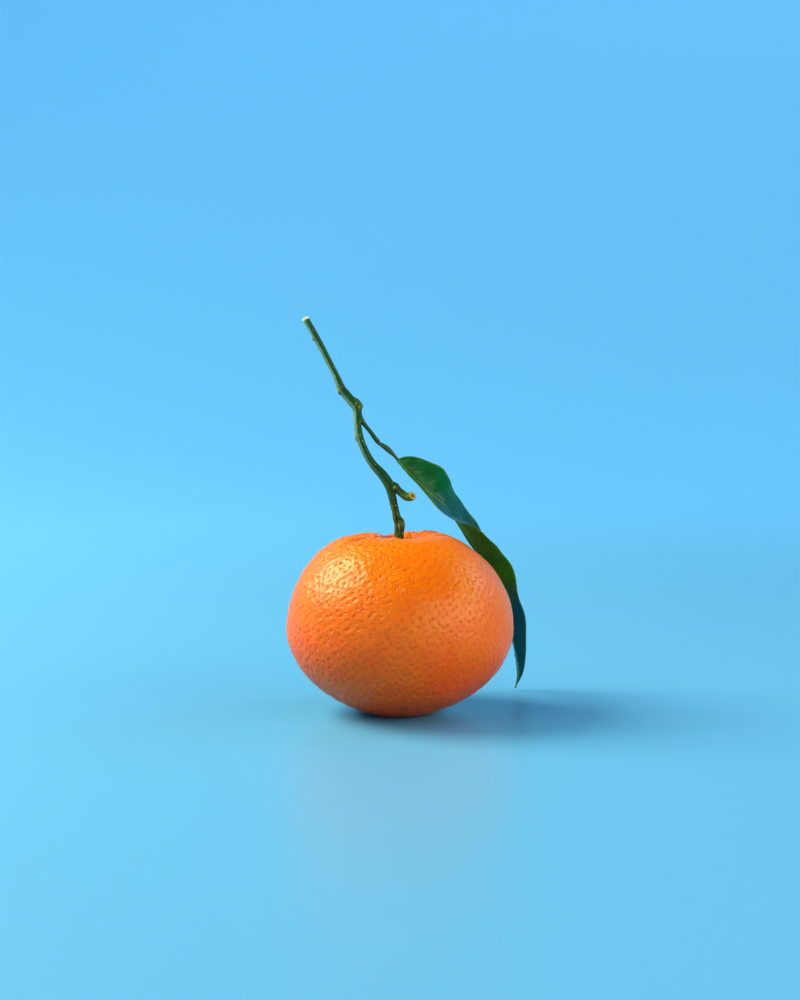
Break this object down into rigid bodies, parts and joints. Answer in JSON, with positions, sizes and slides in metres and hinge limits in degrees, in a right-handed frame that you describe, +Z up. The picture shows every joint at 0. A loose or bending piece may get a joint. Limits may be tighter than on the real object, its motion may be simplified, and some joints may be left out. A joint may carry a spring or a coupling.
{
  "type": "mandarin",
  "caption": "Mandarin with its own woody twig and a glossy leaf: a squat fruit with a dimpled, furrowed crown, resting on a small flat spot at its base.",
  "frame": {"origin": "centre of the flat resting spot under the fruit, on the surface it stands on", "axes": "+Z up through the middle of the fruit to the stalk; +X towards the side that the leaf hangs past; -Y is the front"},
  "size_m": [0.0726, 0.0682, 0.1154],
  "materials": {
    "rind": "waxy orange peel, pitted with oil glands, satin gloss",
    "calyx": "dull green, browning at its edge",
    "bark": "young green bark, faintly ridged, with pale specks and brown scars",
    "petiole": "smooth green, slightly waxy",
    "leaf": "glossy deep green above, duller olive green below, with pale veins"
  },
  "bodies": {
    "root": {"fruit": "rind", "calyx": "calyx", "twig": "bark", "petiole": "petiole", "leaf_blade": "leaf"}
  },
  "joints": []
}
